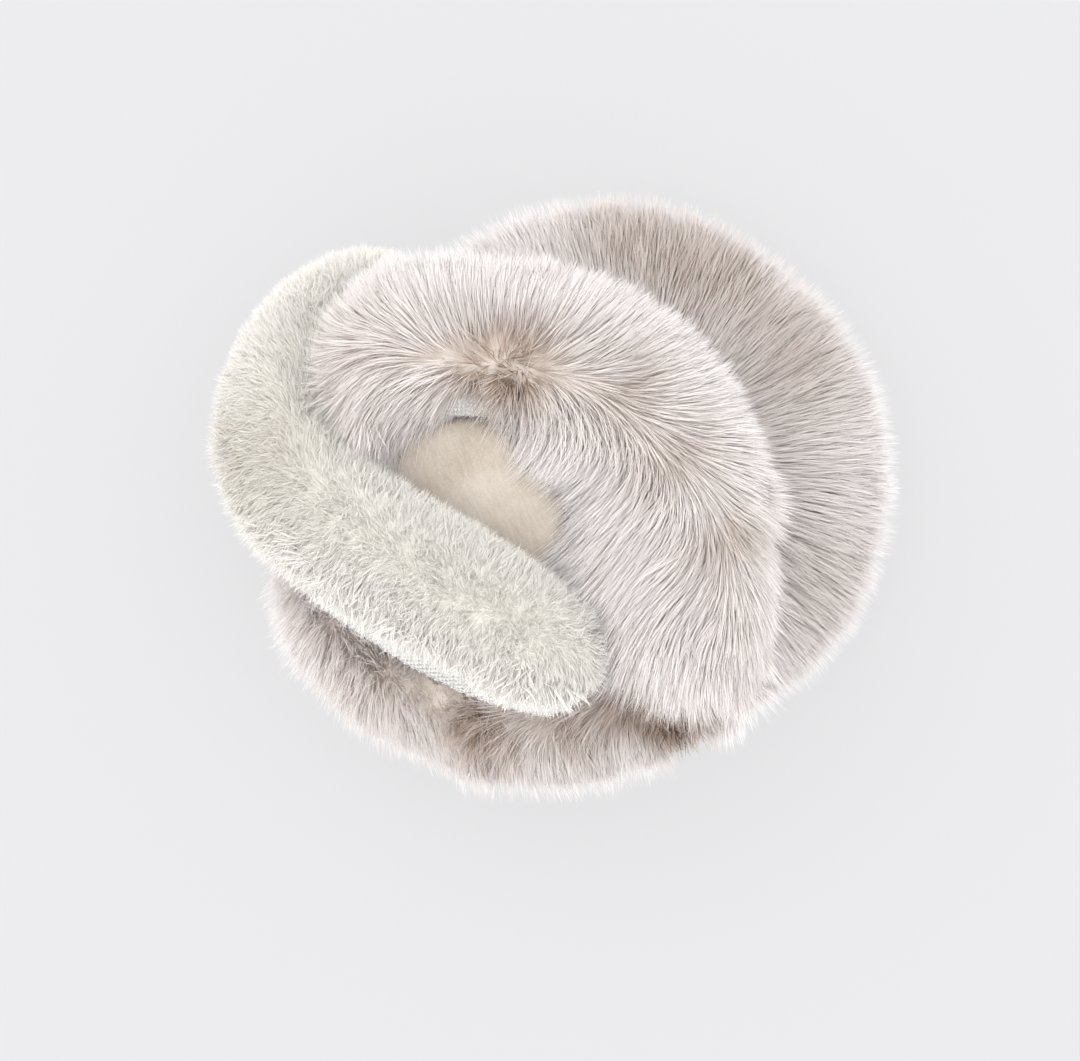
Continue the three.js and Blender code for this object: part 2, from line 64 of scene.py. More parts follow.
camera_data = bpy.data.cameras.new("camera")
camera_data.sensor_width = SENSOR
camera_data.lens = SENSOR * (CAMERA_HEIGHT - VIEW_HEIGHT_ABOVE_FLOOR) / VIEW_WIDTH
camera = bpy.data.objects.new("camera", camera_data)
camera.location = (*CAMERA_PLACE, CAMERA_HEIGHT)
scene.collection.objects.link(camera)
scene.camera = camera
print("camera lens, mm:", round(camera_data.lens, 1))

# %% [markdown]
# The studio is a pale sweep that is lit from below as well, in a white surround that is brighter towards
# the upper left, as a tent with one big lamp behind it. It gives soft light all over, with a faint shadow
# to the lower right. A sun lamp could do that too, but its shadow is harder. The surround is nearly even,
# so rays find it by chance, without being aimed at it, which saves time in deep fur. Most of the floor's
# brightness is its own light, so the shadow stays as faint as in a product picture. Light bounces seven
# times at most: in deep fur more bounces take long and add little. The colours are shown without a film
# curve, so that pale fabric stays pale.

# %% Studio
FLOOR_HALF = 3.0
FLOOR_ROUGHNESS = 0.9
FLOOR_COLOUR = (0.09, 0.09, 0.092, 1)
FLOOR_LIGHT = (0.985, 0.985, 1, 1)
FLOOR_LIGHT_STRENGTH = 0.645
SURROUND = 1.81
PATCH_STRENGTH = 0.95
PATCH_SHARPNESS = 4
PATCH_WAY = (-0.484, 0.5, 0.718)
LIGHT_BOUNCES = 7

scene.view_settings.view_transform = "Standard"
scene.cycles.max_bounces = LIGHT_BOUNCES
world = bpy.data.worlds.new("surround")
world.use_nodes = True
world_nodes, world_links = world.node_tree.nodes, world.node_tree.links
world_nodes["Background"].inputs["Color"].default_value = (1, 1, 1, 1)
towards = world_nodes.new("ShaderNodeVectorMath")
towards.operation = "DOT_PRODUCT"
towards.inputs[1].default_value = PATCH_WAY
world_links.new(world_nodes.new("ShaderNodeTexCoord").outputs["Generated"], towards.inputs[0])
strength = towards.outputs["Value"]
for operation, value in (("MAXIMUM", 0), ("POWER", PATCH_SHARPNESS), ("MULTIPLY", PATCH_STRENGTH),
                         ("ADD", SURROUND)):
    step = world_nodes.new("ShaderNodeMath")
    step.operation = operation
    step.inputs[1].default_value = value
    world_links.new(strength, step.inputs[0])
    strength = step.outputs[0]
world_links.new(strength, world_nodes["Background"].inputs["Strength"])
world.cycles.sampling_method = "NONE"
scene.world = world


def new_material(name, roughness):
    """A material with its nodes, its Principled shader ready to be wired."""
    material = bpy.data.materials.new(name)
    material.use_nodes = True
    shader = material.node_tree.nodes["Principled BSDF"]
    shader.inputs["Roughness"].default_value = roughness
    return material, material.node_tree.nodes, material.node_tree.links, shader


floor_mesh = bpy.data.meshes.new("floor")
floor_mesh.from_pydata(
    [(-FLOOR_HALF, -FLOOR_HALF, 0), (FLOOR_HALF, -FLOOR_HALF, 0),
     (FLOOR_HALF, FLOOR_HALF, 0), (-FLOOR_HALF, FLOOR_HALF, 0)], [], [(0, 1, 2, 3)])
floor = bpy.data.objects.new("floor", floor_mesh)
scene.collection.objects.link(floor)
floor_material, _, _, floor_shader = new_material("pale_floor", FLOOR_ROUGHNESS)
floor_shader.inputs["Base Color"].default_value = FLOOR_COLOUR
floor_shader.inputs["Emission Color"].default_value = FLOOR_LIGHT
floor_shader.inputs["Emission Strength"].default_value = FLOOR_LIGHT_STRENGTH
floor_mesh.materials.append(floor_material)
print("studio: floor and surround")

# %% [markdown]
# A fabric skin could be modelled by hand over each solid. Here it is taken from the solid itself: a copy
# is remeshed into even cells, which melts the locks of fur into one smooth form, and is then drawn in,
# because the fabric lies under its fur. Cloth with air pressure makes it plump, as its filling does.

# %% Skins
ROUNDS_OF_CLOTH = 20
CLOTH_STEPS = 4
CLOTH_MASS = 0.2
CLOTH_STRETCH = 12
CLOTH_BENDING = 0.6
MERGE_DISTANCE = 0.02 * MM
# For each kind of skin: the size of its cells, rounds of smoothing, how far it is drawn in, the air's
# pressure, how far that may move it, and how many times its faces are divided at the end
FUR_SKIN = {"cell": 3.2 * MM, "smoothing": 10, "inset": 6.5 * MM,
            "pressure": 4.0, "most": 1.5 * MM, "finer": 0}
PLUSH_SKIN = {"cell": 2.6 * MM, "smoothing": 8, "inset": 4.0 * MM,
              "pressure": 4.0, "most": 1.5 * MM, "finer": 0}
LINING_SKIN = {"cell": 2.0 * MM, "smoothing": 3, "inset": -1.1 * MM,
               "pressure": 3.0, "most": 0.8 * MM, "finer": 1}


def coordinates(mesh):
    """The vertices of a mesh as an array."""
    points = np.empty(len(mesh.vertices) * 3)
    mesh.vertices.foreach_get("co", points)
    return points.reshape(-1, 3)


def set_coordinates(mesh, points):
    """Moves the vertices of a mesh."""
    mesh.vertices.foreach_set("co", points.astype(np.float32).ravel())
    mesh.update()


def vertex_normals(mesh):
    """The unit normal at each vertex as an array."""
    normals = np.empty(len(mesh.vertices) * 3)
    mesh.vertex_normals.foreach_get("vector", normals)
    return normals.reshape(-1, 3)


def made_plain(piece, name):
    """A new object with the evaluated mesh of a piece, whose own modifiers are then removed."""
    depsgraph = bpy.context.evaluated_depsgraph_get()
    mesh = bpy.data.meshes.new_from_object(
        piece.evaluated_get(depsgraph), preserve_all_data_layers=True, depsgraph=depsgraph)
    mesh.name = name
    piece.modifiers.clear()
    plain = bpy.data.objects.new(name, mesh)
    scene.collection.objects.link(plain)
    return plain


def merged_copy(node, name):
    """A copy of a solid whose loose triangles are merged into one closed surface."""
    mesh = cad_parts[node].data.copy()
    mesh.name = name
    mesh.materials.clear()
    work = bmesh.new()
    work.from_mesh(mesh)
    bmesh.ops.remove_doubles(work, verts=work.verts, dist=MERGE_DISTANCE)
    work.to_mesh(mesh)
    work.free()
    copy = bpy.data.objects.new(name, mesh)
    scene.collection.objects.link(copy)
    return copy


def plumped(piece, pressure, most):
    """Swells a piece as cloth with air inside, where no point moves further than most."""
    before = coordinates(piece.data)
    cloth = piece.modifiers.new("air", "CLOTH")
    cloth.settings.quality = CLOTH_STEPS
    cloth.settings.mass = CLOTH_MASS
    cloth.settings.use_pressure = True
    cloth.settings.uniform_pressure_force = pressure
    cloth.settings.effector_weights.gravity = 0
    cloth.settings.tension_stiffness = CLOTH_STRETCH
    cloth.settings.compression_stiffness = CLOTH_STRETCH
    cloth.settings.bending_stiffness = CLOTH_BENDING
    for number in range(1, ROUNDS_OF_CLOTH + 1):
        scene.frame_set(number)
    depsgraph = bpy.context.evaluated_depsgraph_get()
    after = coordinates(piece.evaluated_get(depsgraph).data)
    piece.modifiers.clear()
    scene.frame_set(1)
    step = after - before
    length = np.linalg.norm(step, axis=1, keepdims=True)
    step *= np.minimum(1, most / np.maximum(length, 1e-9))
    set_coordinates(piece.data, before + step)
    print(f"  cloth moved {piece.name} by {np.linalg.norm(step, axis=1).mean() / MM:.2f} mm on average")


def fabric_skin(node, name, cell, smoothing, inset, pressure, most, finer):
    """A smooth plump skin made from a solid."""
    rough = merged_copy(node, name + "_rough")
    remesh = rough.modifiers.new("cells", "REMESH")
    remesh.mode = "VOXEL"
    remesh.voxel_size = cell
    smooth = rough.modifiers.new("smooth", "SMOOTH")
    smooth.factor = 0.5
    smooth.iterations = smoothing
    skin = made_plain(rough, name + "_cells")
    bpy.data.objects.remove(rough)
    set_coordinates(skin.data, coordinates(skin.data) - vertex_normals(skin.data) * inset)
    plumped(skin, pressure, most)
    division = skin.modifiers.new("finer", "SUBSURF")
    division.levels = finer
    division.render_levels = finer
    made = made_plain(skin, name)
    bpy.data.objects.remove(skin)
    made.data.polygons.foreach_set("use_smooth", [True] * len(made.data.polygons))
    print(f"{name}: {len(made.data.polygons)} faces")
    return made


front_skin = fabric_skin("front_cup_fur", "front_cup_skin", **FUR_SKIN)
back_skin = fabric_skin("back_cup_fur", "back_cup_skin", **FUR_SKIN)
band_skin = fabric_skin("headband_fur", "headband_skin", **PLUSH_SKIN)

# %% [markdown]
# Fur is beige along its length and frosted at its tips, and in some patches brown down to its roots. Other
# patches are darkened as painted shade: in creases, seams and crevices, partly by the upper cup's edge on
# the lower cup, and on the band's underside and left side. Every strand carries three numbers: how far
# along it a point is, a tone of its own, and the tone of the patch that it grows in, which holds roots,
# frost and painted shade. They add up to a place on one run of colours, so that no two strands are quite
# alike.

# %% Fur materials
FUR_ROUGHNESS = 0.7
THROUGH_SHARE = 0.5
PATCH_BASE = 0.4
PATCH_BY_TONE = 1.2
TAUPE_STOPS = [(0.0, "755B44"), (0.16, "A78D77"), (0.34, "D3C3B7"), (0.55, "E6DFDA"), (0.78, "F4F0EE"),
               (1.0, "FCFAFA")]
CREAM_STOPS = [(0.0, "CFC9C0"), (0.3, "E8E4DE"), (0.65, "F4F2EE"), (1.0, "FCFBF9")]
GROUND_PATCH = 3 * MM
GROUND_BUMP = 0.5 * MM


def linear(hex_colour):
    """A colour written as RRGGBB, in the linear values that a shader reads."""
    channels = [int(hex_colour[i:i + 2], 16) / 255 for i in (0, 2, 4)]
    return (*[c / 12.92 if c <= 0.04045 else ((c + 0.055) / 1.055) ** 2.4 for c in channels], 1)


def attribute(nodes, name):
    """A node that reads one of the strand's own numbers."""
    node = nodes.new("ShaderNodeAttribute")
    node.attribute_name = name
    return node.outputs["Fac"]


def arithmetic(nodes, links, operation, first, second):
    """A maths node on two values, each a socket or a number."""
    node = nodes.new("ShaderNodeMath")
    node.operation = operation
    for socket, value in zip(node.inputs, (first, second)):
        if isinstance(value, (int, float)):
            socket.default_value = value
        else:
            links.new(value, socket)
    return node.outputs[0]


def colour_ramp(nodes, stops):
    """A colour ramp from (place, colour) stops."""
    ramp = nodes.new("ShaderNodeValToRGB")
    elements = ramp.color_ramp.elements
    while len(elements) < len(stops):
        elements.new(0.5)
    for element, (place, colour) in zip(elements, stops):
        element.position = place
        element.color = linear(colour)
    return ramp


def fur_material(name, stops, root_place, tone_share, patch_share):
    """Strands coloured from root to tip, shifted by strand and by patch: roots, frost and painted shade."""
    material, nodes, links, shader = new_material(name, FUR_ROUGHNESS)
    tone = arithmetic(nodes, links, "MULTIPLY", arithmetic(
        nodes, links, "SUBTRACT", attribute(nodes, "tone"), 0.5), tone_share)
    own_share = arithmetic(nodes, links, "MULTIPLY", attribute(nodes, "tone"), PATCH_BY_TONE * patch_share)
    patch = arithmetic(nodes, links, "MULTIPLY", attribute(nodes, "patch"), arithmetic(
        nodes, links, "ADD", own_share, PATCH_BASE * patch_share))
    place = arithmetic(nodes, links, "MULTIPLY", attribute(nodes, "along"), 1 - root_place)
    place = arithmetic(nodes, links, "ADD", place, root_place)
    place = arithmetic(nodes, links, "ADD", place, tone)
    place = arithmetic(nodes, links, "SUBTRACT", place, patch)
    ramp = colour_ramp(nodes, stops)
    links.new(place, ramp.inputs["Fac"])
    links.new(ramp.outputs["Color"], shader.inputs["Base Color"])
    through = nodes.new("ShaderNodeBsdfTranslucent")
    links.new(ramp.outputs["Color"], through.inputs["Color"])
    mixed = nodes.new("ShaderNodeMixShader")
    mixed.inputs["Fac"].default_value = THROUGH_SHARE
    links.new(shader.outputs["BSDF"], mixed.inputs[1])
    links.new(through.outputs["BSDF"], mixed.inputs[2])
    links.new(mixed.outputs["Shader"], nodes["Material Output"].inputs["Surface"])
    shader.inputs["Specular IOR Level"].default_value = 0.0
    return material


front_fur = fur_material(
    "front_cup_fur_strands", TAUPE_STOPS, root_place=0.5, tone_share=0.16, patch_share=0.6)
back_fur = fur_material(
    "back_cup_fur_strands", TAUPE_STOPS, root_place=0.47, tone_share=0.16, patch_share=0.5)
cream_fur = fur_material(
    "headband_plush_strands", CREAM_STOPS, root_place=0.5, tone_share=0.2, patch_share=0.45)


def ground_material(name, colours):
    """The woven ground that the fur grows from, in patchy shades."""
    material, nodes, links, shader = new_material(name, 0.95)
    where = nodes.new("ShaderNodeTexCoord")
    noise = nodes.new("ShaderNodeTexNoise")
    noise.inputs["Scale"].default_value = 1 / GROUND_PATCH
    noise.inputs["Detail"].default_value = 3
    links.new(where.outputs["Object"], noise.inputs["Vector"])
    ramp = colour_ramp(nodes, [(0.35, colours[0]), (0.65, colours[1])])
    links.new(noise.outputs["Fac"], ramp.inputs["Fac"])
    links.new(ramp.outputs["Color"], shader.inputs["Base Color"])
    bump = nodes.new("ShaderNodeBump")
    bump.inputs["Distance"].default_value = GROUND_BUMP
    links.new(noise.outputs["Fac"], bump.inputs["Height"])
    links.new(bump.outputs["Normal"], shader.inputs["Normal"])
    return material


taupe_ground = ground_material("taupe_ground", ("D3C8BE", "E0D7CF"))
cream_ground = ground_material("cream_ground", ("DCD9D2", "E6E4DF"))
front_skin.data.materials.append(taupe_ground)
back_skin.data.materials.append(taupe_ground)
band_skin.data.materials.append(cream_ground)
print("fur materials: taupe and cream strands with their grounds")

# %% [markdown]
# One strand is a thin blade that rises from its root and then bends over. Its wide side faces away from
# the skin and catches the light, and it closes along a straight keel underneath. It has only four faces,
# because hundreds of thousands of strands are needed. Its length is one unit, so that an instance's scale
# is the strand's length.

# %% One strand


def strand(name, half_width, waist, bend):
    """A closed blade along +Z that bends towards +X, with its place along the strand as an attribute."""
    middle = bend * waist * waist
    points = [(0, 0, 0), (middle, half_width, waist), (middle, -half_width, waist), (bend, 0, 1)]
    root, left, right, tip = range(len(points))
    faces = [(root, right, left), (tip, left, right), (root, left, tip), (root, tip, right)]
    mesh = bpy.data.meshes.new(name)
    mesh.from_pydata(points, [], faces)
    along = mesh.attributes.new("along", "FLOAT", "POINT")
    along.data.foreach_set("value", [point[2] for point in points])
    made = bpy.data.objects.new(name, mesh)
    made.hide_render = True
    scene.collection.objects.link(made)
    return made


under_strand = strand("under_strand", half_width=0.008, waist=0.42, bend=0.1)
long_strand = strand("long_strand", half_width=0.0064, waist=0.42, bend=0.1)
plush_strand = strand("plush_strand", half_width=0.0115, waist=0.45, bend=0.2)
print("one strand has", len(long_strand.data.polygons), "faces")

# %% [markdown]
# The coat could be a particle system, but the export needs real faces. So a Geometry Nodes tree scatters
# points over the skin, turns a strand at each along the comb direction that is painted on the skin, pulls
# neighbours together into locks round the cells of a Voronoi pattern, and realizes them as one mesh.

# %% Coat tree
WAVE_SIZE = 9 * MM
CRIMP_SIZE = 2.5 * MM
SHORTEST, LONGEST = 0.84, 1.06
TONE_SEED_STEP = 7


def named(nodes, name, kind):
    """A node that reads an attribute painted on the skin."""
    node = nodes.new("GeometryNodeInputNamedAttribute")
    node.data_type = kind
    node.inputs["Name"].default_value = name
    return node.outputs["Attribute"]


def vector_maths(nodes, links, operation, first, second=None, scale=None):
    """A vector maths node whose inputs are sockets, vectors or a scale."""
    node = nodes.new("ShaderNodeVectorMath")
    node.operation = operation
    for socket, value in zip(node.inputs, (first, second)):
        if value is None:
            continue
        if isinstance(value, tuple):
            socket.default_value = value
        else:
            links.new(value, socket)
    if scale is not None:
        if isinstance(scale, (int, float)):
            node.inputs["Scale"].default_value = scale
        else:
            links.new(scale, node.inputs["Scale"])
    return node.outputs["Vector"]


def coat_tree(name, material):
    """The tree that grows a coat on a skin. Its sizes are inputs."""
    tree = bpy.data.node_groups.new(name, "GeometryNodeTree")
    face = tree.interface
    face.new_socket("Geometry", in_out="INPUT", socket_type="NodeSocketGeometry")
    for label in ("Density", "Length", "Lock Size", "Lock Pull", "Stray", "Wave", "Crimp"):
        face.new_socket(label, in_out="INPUT", socket_type="NodeSocketFloat")
    face.new_socket("Seed", in_out="INPUT", socket_type="NodeSocketInt")
    face.new_socket("Strand", in_out="INPUT", socket_type="NodeSocketObject")
    face.new_socket("Geometry", in_out="OUTPUT", socket_type="NodeSocketGeometry")
    nodes, links = tree.nodes, tree.links
    given = nodes.new("NodeGroupInput").outputs
    scatter = nodes.new("GeometryNodeDistributePointsOnFaces")
    links.new(given["Geometry"], scatter.inputs["Mesh"])
    links.new(arithmetic(nodes, links, "MULTIPLY", given["Density"], named(nodes, "cover", "FLOAT")),
              scatter.inputs["Density"])
    links.new(given["Seed"], scatter.inputs["Seed"])

    position = nodes.new("GeometryNodeInputPosition").outputs[0]
    cells = nodes.new("ShaderNodeTexVoronoi")
    links.new(position, cells.inputs["Vector"])
    links.new(arithmetic(nodes, links, "DIVIDE", 1.0, given["Lock Size"]), cells.inputs["Scale"])
    to_lock = vector_maths(nodes, links, "SUBTRACT", cells.outputs["Position"], position)
    pull = vector_maths(nodes, links, "SCALE", to_lock, scale=arithmetic(
        nodes, links, "DIVIDE", given["Lock Pull"], given["Lock Size"]))

    def wander(size, amount):
        """A step whose direction changes smoothly over a distance of size."""
        noise = nodes.new("ShaderNodeTexNoise")
        links.new(position, noise.inputs["Vector"])
        noise.inputs["Scale"].default_value = 1 / size
        noise.inputs["Detail"].default_value = 1
        step = vector_maths(nodes, links, "SUBTRACT", noise.outputs["Color"], (0.5, 0.5, 0.5))
        return vector_maths(nodes, links, "SCALE", step, scale=amount)

    wave_step = wander(WAVE_SIZE, given["Wave"])
    crimp_step = wander(CRIMP_SIZE, arithmetic(
        nodes, links, "MULTIPLY", given["Crimp"], named(nodes, "ruffle", "FLOAT")))
    stray = nodes.new("FunctionNodeRandomValue")
    stray.data_type = "FLOAT_VECTOR"
    stray.inputs["Min"].default_value = (-1, -1, -1)
    stray.inputs["Max"].default_value = (1, 1, 1)
    links.new(given["Seed"], stray.inputs["Seed"])
    stray_step = vector_maths(nodes, links, "SCALE", stray.outputs["Value"], scale=given["Stray"])

    direction = vector_maths(nodes, links, "SCALE", scatter.outputs["Normal"],
                             scale=named(nodes, "lift", "FLOAT"))
    for step in (named(nodes, "comb", "FLOAT_VECTOR"), pull, wave_step, crimp_step, stray_step):
        direction = vector_maths(nodes, links, "ADD", direction, step)
    turn = nodes.new("FunctionNodeAxesToRotation")
    turn.primary_axis = "Z"
    turn.secondary_axis = "X"
    links.new(direction, turn.inputs["Primary Axis"])
    bend_way = vector_maths(nodes, links, "SUBTRACT", direction, scatter.outputs["Normal"])
    links.new(bend_way, turn.inputs["Secondary Axis"])

    own_length = nodes.new("FunctionNodeRandomValue")
    own_length.inputs[2].default_value = SHORTEST
    own_length.inputs[3].default_value = LONGEST
    links.new(given["Seed"], own_length.inputs["Seed"])
    length = arithmetic(nodes, links, "MULTIPLY", given["Length"], named(nodes, "pile", "FLOAT"))
    length = arithmetic(nodes, links, "MULTIPLY", length, own_length.outputs[1])

    tone = nodes.new("FunctionNodeRandomValue")
    links.new(arithmetic(nodes, links, "ADD", given["Seed"], TONE_SEED_STEP), tone.inputs["Seed"])
    keep_tone = nodes.new("GeometryNodeStoreNamedAttribute")
    keep_tone.data_type = "FLOAT"
    keep_tone.inputs["Name"].default_value = "tone"
    links.new(scatter.outputs["Points"], keep_tone.inputs["Geometry"])
    links.new(tone.outputs[1], keep_tone.inputs["Value"])

    copies = nodes.new("GeometryNodeInstanceOnPoints")
    shape = nodes.new("GeometryNodeObjectInfo")
    links.new(given["Strand"], shape.inputs["Object"])
    links.new(keep_tone.outputs["Geometry"], copies.inputs["Points"])
    links.new(shape.outputs["Geometry"], copies.inputs["Instance"])
    links.new(turn.outputs["Rotation"], copies.inputs["Rotation"])
    links.new(length, copies.inputs["Scale"])
    real = nodes.new("GeometryNodeRealizeInstances")
    links.new(copies.outputs["Instances"], real.inputs["Geometry"])
    painted = nodes.new("GeometryNodeSetMaterial")
    painted.inputs["Material"].default_value = material
    links.new(real.outputs["Geometry"], painted.inputs["Geometry"])
    links.new(painted.outputs["Geometry"], nodes.new("NodeGroupOutput").inputs["Geometry"])
    return tree


def grow(skin, tree, name, **sizes):
    """Grows one coat on a skin and returns it as a plain mesh."""
    modifier = skin.modifiers.new("coat", "NODES")
    modifier.node_group = tree
    for item in tree.interface.items_tree:
        key = item.name.lower().replace(" ", "_")
        if item.in_out == "INPUT" and key in sizes:
            modifier[item.identifier] = sizes[key]
    coat = made_plain(skin, name)
    print(f"{name}: {len(coat.data.polygons)} faces")
    return coat


front_tree = coat_tree("front_cup_coat", front_fur)
back_tree = coat_tree("back_cup_coat", back_fur)
band_tree = coat_tree("headband_coat", cream_fur)
print("coat trees:", front_tree.name, back_tree.name, band_tree.name)

# %% [markdown]
# Combing comes next. The ring's fur parts along a line that goes round the recess. It lies outwards on one
# side of that line and inwards, over the recess, on the other. Guides then turn the fur where the
# photograph shows it combed another way, and smoothing joins all these ways. Where they cancel out, as
# along the parting, the fur stands up. The brown spots along the parting and on the lower arc are places
# where pressed fur opens and shows its roots. Those in the crease at the lobe's end are partly roots and
# partly painted shade. Those in the seam and in the crevice by the band are painted shade, and two broad
# faint ones darken the ring's upper left and lower left. On the lower cup, the spots by the upper cup's
# edge are partly roots at a parting and partly painted shadow of the upper cup.

# %% Combing
PARTING_HALF_WIDTH = 6 * MM
SWEEP_REACH = (6 * MM, 12 * MM)
GUIDE_HOLD = 0.9
COMB_SMOOTHING = 3
FUR_REACH = 13 * MM
SEEN_FROM_ABOVE = (-0.2, 0.2)


def unit(vectors):
    """Vectors of length one."""
    return vectors / np.maximum(np.linalg.norm(vectors, axis=1, keepdims=True), 1e-9)


def ramp_up(values, low, high):
    """0 below low, 1 above high and a straight line between."""
    return np.clip((values - low) / (high - low), 0, 1)


def spots(points, table):
    """The strength of round spots, each a row of x, y, radius and strength in millimetres."""
    total = np.zeros(len(points))
    for spot in table:
        away = np.hypot(points[:, 0] / MM - spot["x"], points[:, 1] / MM - spot["y"])
        total += spot["strength"] * np.exp(-((away / spot["radius"]) ** 2))
    return total


def paint(skin, **columns):
    """Writes arrays on a skin's points as attributes."""
    for name, values in columns.items():
        kind = "FLOAT_VECTOR" if values.ndim == 2 else "FLOAT"
        layer = skin.data.attributes.new(name, kind, "POINT")
        layer.data.foreach_set("vector" if values.ndim == 2 else "value", values.astype(np.float32).ravel())


def freedom(points, ways, others):
    """The room for fur along ways from points: 0 where a skin or the floor stops it at once, 1 at most."""
    depsgraph = bpy.context.evaluated_depsgraph_get()
    trees = [BVHTree.FromObject(other, depsgraph) for other in others]
    room = []
    for point, way in zip(points, ways):
        reached = [tree.ray_cast(Vector(point), Vector(way), FUR_REACH)[3] for tree in trees]
        room.append(min((distance for distance in reached if distance is not None), default=FUR_REACH))
    to_floor = points[:, 2] / np.maximum(-unit(ways)[:, 2], 1e-9)
    return np.clip(np.minimum(room, to_floor) / FUR_REACH, 0, 1)


def middle_of(node):
    """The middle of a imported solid, seen from above."""
    corners = np.array([corner[:2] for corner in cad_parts[node].bound_box])
    return (corners.min(axis=0) + corners.max(axis=0)) / 2


def round_ring(out, column):
    """The value of one column of the parting's table in the direction of each step out from the middle."""
    turn = np.degrees(np.arctan2(out[:, 1], out[:, 0]))
    azimuths = [row["azimuth"] for row in PARTING]
    return np.interp(turn, azimuths, [row[column] for row in PARTING], period=360)


def smoothed(skin, values, rounds):
    """Values at a skin's points, each averaged with its neighbours again and again."""
    ends = np.empty(2 * len(skin.data.edges), dtype=np.int32)
    skin.data.edges.foreach_get("vertices", ends)
    first, second = ends.reshape(-1, 2).T
    count = np.bincount(ends, minlength=len(values))[:, None]
    for _ in range(rounds):
        total = np.zeros_like(values)
        np.add.at(total, first, values[second])
        np.add.at(total, second, values[first])
        values = (values + total / count) / 2
    return values


def guided(way, points, normals, guides):
    """Ways turned by guides. A guide is a place seen from above, a heading in degrees and a reach."""
    seen = ramp_up(normals[:, 2], *SEEN_FROM_ABOVE)
    for guide in guides:
        away = np.hypot(points[:, 0] / MM - guide["x"], points[:, 1] / MM - guide["y"])
        weight = (GUIDE_HOLD * seen * np.exp(-((away / guide["reach"]) ** 2)))[:, None]
        heading = math.radians(guide["heading"])
        way = way * (1 - weight) + np.array([math.cos(heading), math.sin(heading), 0]) * weight
    return way


def along_skin(way, normals, share):
    """Ways laid along the skin. Those that leave it keep a share of that."""
    out = np.sum(way * normals, axis=1)
    return way - (np.where(out > 0, 1 - share, 1) * out)[:, None] * normals


# Where the ring's fur parts, round the middle of its recess, in degrees and millimetres, and how far the
# fur there is swept along the parting: anticlockwise, or clockwise where negative
PARTING = [
    {"azimuth": 4, "radius": 60, "sweep": -0.9},
    {"azimuth": 14, "radius": 55, "sweep": -0.9},
    {"azimuth": 28, "radius": 50, "sweep": -0.8},
    {"azimuth": 50, "radius": 45, "sweep": -0.7},
    {"azimuth": 68, "radius": 41, "sweep": -0.3},
    {"azimuth": 82, "radius": 39, "sweep": 0.25},
    {"azimuth": 112, "radius": 40, "sweep": 0.7},
    {"azimuth": 135, "radius": 43, "sweep": 0.7},
    {"azimuth": 165, "radius": 42, "sweep": 0.5},
    {"azimuth": 205, "radius": 44, "sweep": 0.2},
    {"azimuth": 245, "radius": 45, "sweep": 0.3},
    {"azimuth": 262, "radius": 46, "sweep": 0.4},
    {"azimuth": 280, "radius": 48, "sweep": -0.4},
    {"azimuth": 298, "radius": 52, "sweep": -0.5},
    {"azimuth": 316, "radius": 62, "sweep": -0.7},
    {"azimuth": 334, "radius": 74, "sweep": -0.9},
    {"azimuth": 348, "radius": 68, "sweep": -0.9},
]
# Spots as x, y, radius and strength. Along the parting and on the lower arc they are brown roots where
# pressed fur opens. At the lobe's end they are partly roots and partly painted shade in the crease. In the
# seam by the band and the crevice at the band's end they are painted shade. Two broad faint ones darken the
# ring's upper left and lower left
FRONT_SPOTS = [
    {"x": -17, "y": 32, "radius": 5.5, "strength": 0.55},
    {"x": -9, "y": 33, "radius": 5.5, "strength": 0.65},
    {"x": -50, "y": 36, "radius": 14, "strength": 0.16},
    {"x": -48, "y": -44, "radius": 13, "strength": 0.14},
    {"x": 14, "y": 27, "radius": 6, "strength": 0.35},
    {"x": 27, "y": 13, "radius": 5, "strength": 0.4},
    {"x": 41, "y": -6, "radius": 5, "strength": 0.45},
    {"x": 22, "y": -48, "radius": 6, "strength": 1.2},
    {"x": 31, "y": -54, "radius": 6, "strength": 1.1},
    {"x": 39, "y": -61, "radius": 6, "strength": 0.8},
    {"x": -15, "y": -57, "radius": 7, "strength": 0.7},
    {"x": -24, "y": -55, "radius": 6, "strength": 0.5},
    {"x": 6, "y": -54, "radius": 8, "strength": 0.55},
    {"x": -58, "y": 23, "radius": 5, "strength": 0.5},
    {"x": 5, "y": -17, "radius": 4, "strength": 0.5},
    {"x": 15, "y": -26, "radius": 4, "strength": 0.5},
]
# Spots by the upper cup's edge: partly roots at a parting and partly painted shadow of the upper cup
BACK_SPOTS = [
    {"x": 18, "y": 60, "radius": 13, "strength": 0.55},
    {"x": 38, "y": 51, "radius": 14, "strength": 0.6},
    {"x": 56, "y": 32, "radius": 13, "strength": 0.5},
    {"x": 62, "y": -18, "radius": 12, "strength": 0.3},
]
FRONT_GUIDES = [
    {"x": 12, "y": -13, "heading": 200, "reach": 9},
    {"x": 14, "y": 0, "heading": 225, "reach": 10},
    {"x": 25, "y": -8, "heading": 250, "reach": 12},
    {"x": 21, "y": -26, "heading": 252, "reach": 11},
    {"x": 22, "y": -38, "heading": 256, "reach": 10},
    {"x": 34, "y": -30, "heading": 260, "reach": 11},
    {"x": 37, "y": -46, "heading": 274, "reach": 11},
    {"x": 48, "y": -52, "heading": 296, "reach": 11},
    {"x": 16, "y": -67, "heading": 275, "reach": 12},
    {"x": -43, "y": 31, "heading": 240, "reach": 10},
    {"x": -54, "y": 28, "heading": 255, "reach": 8},
]
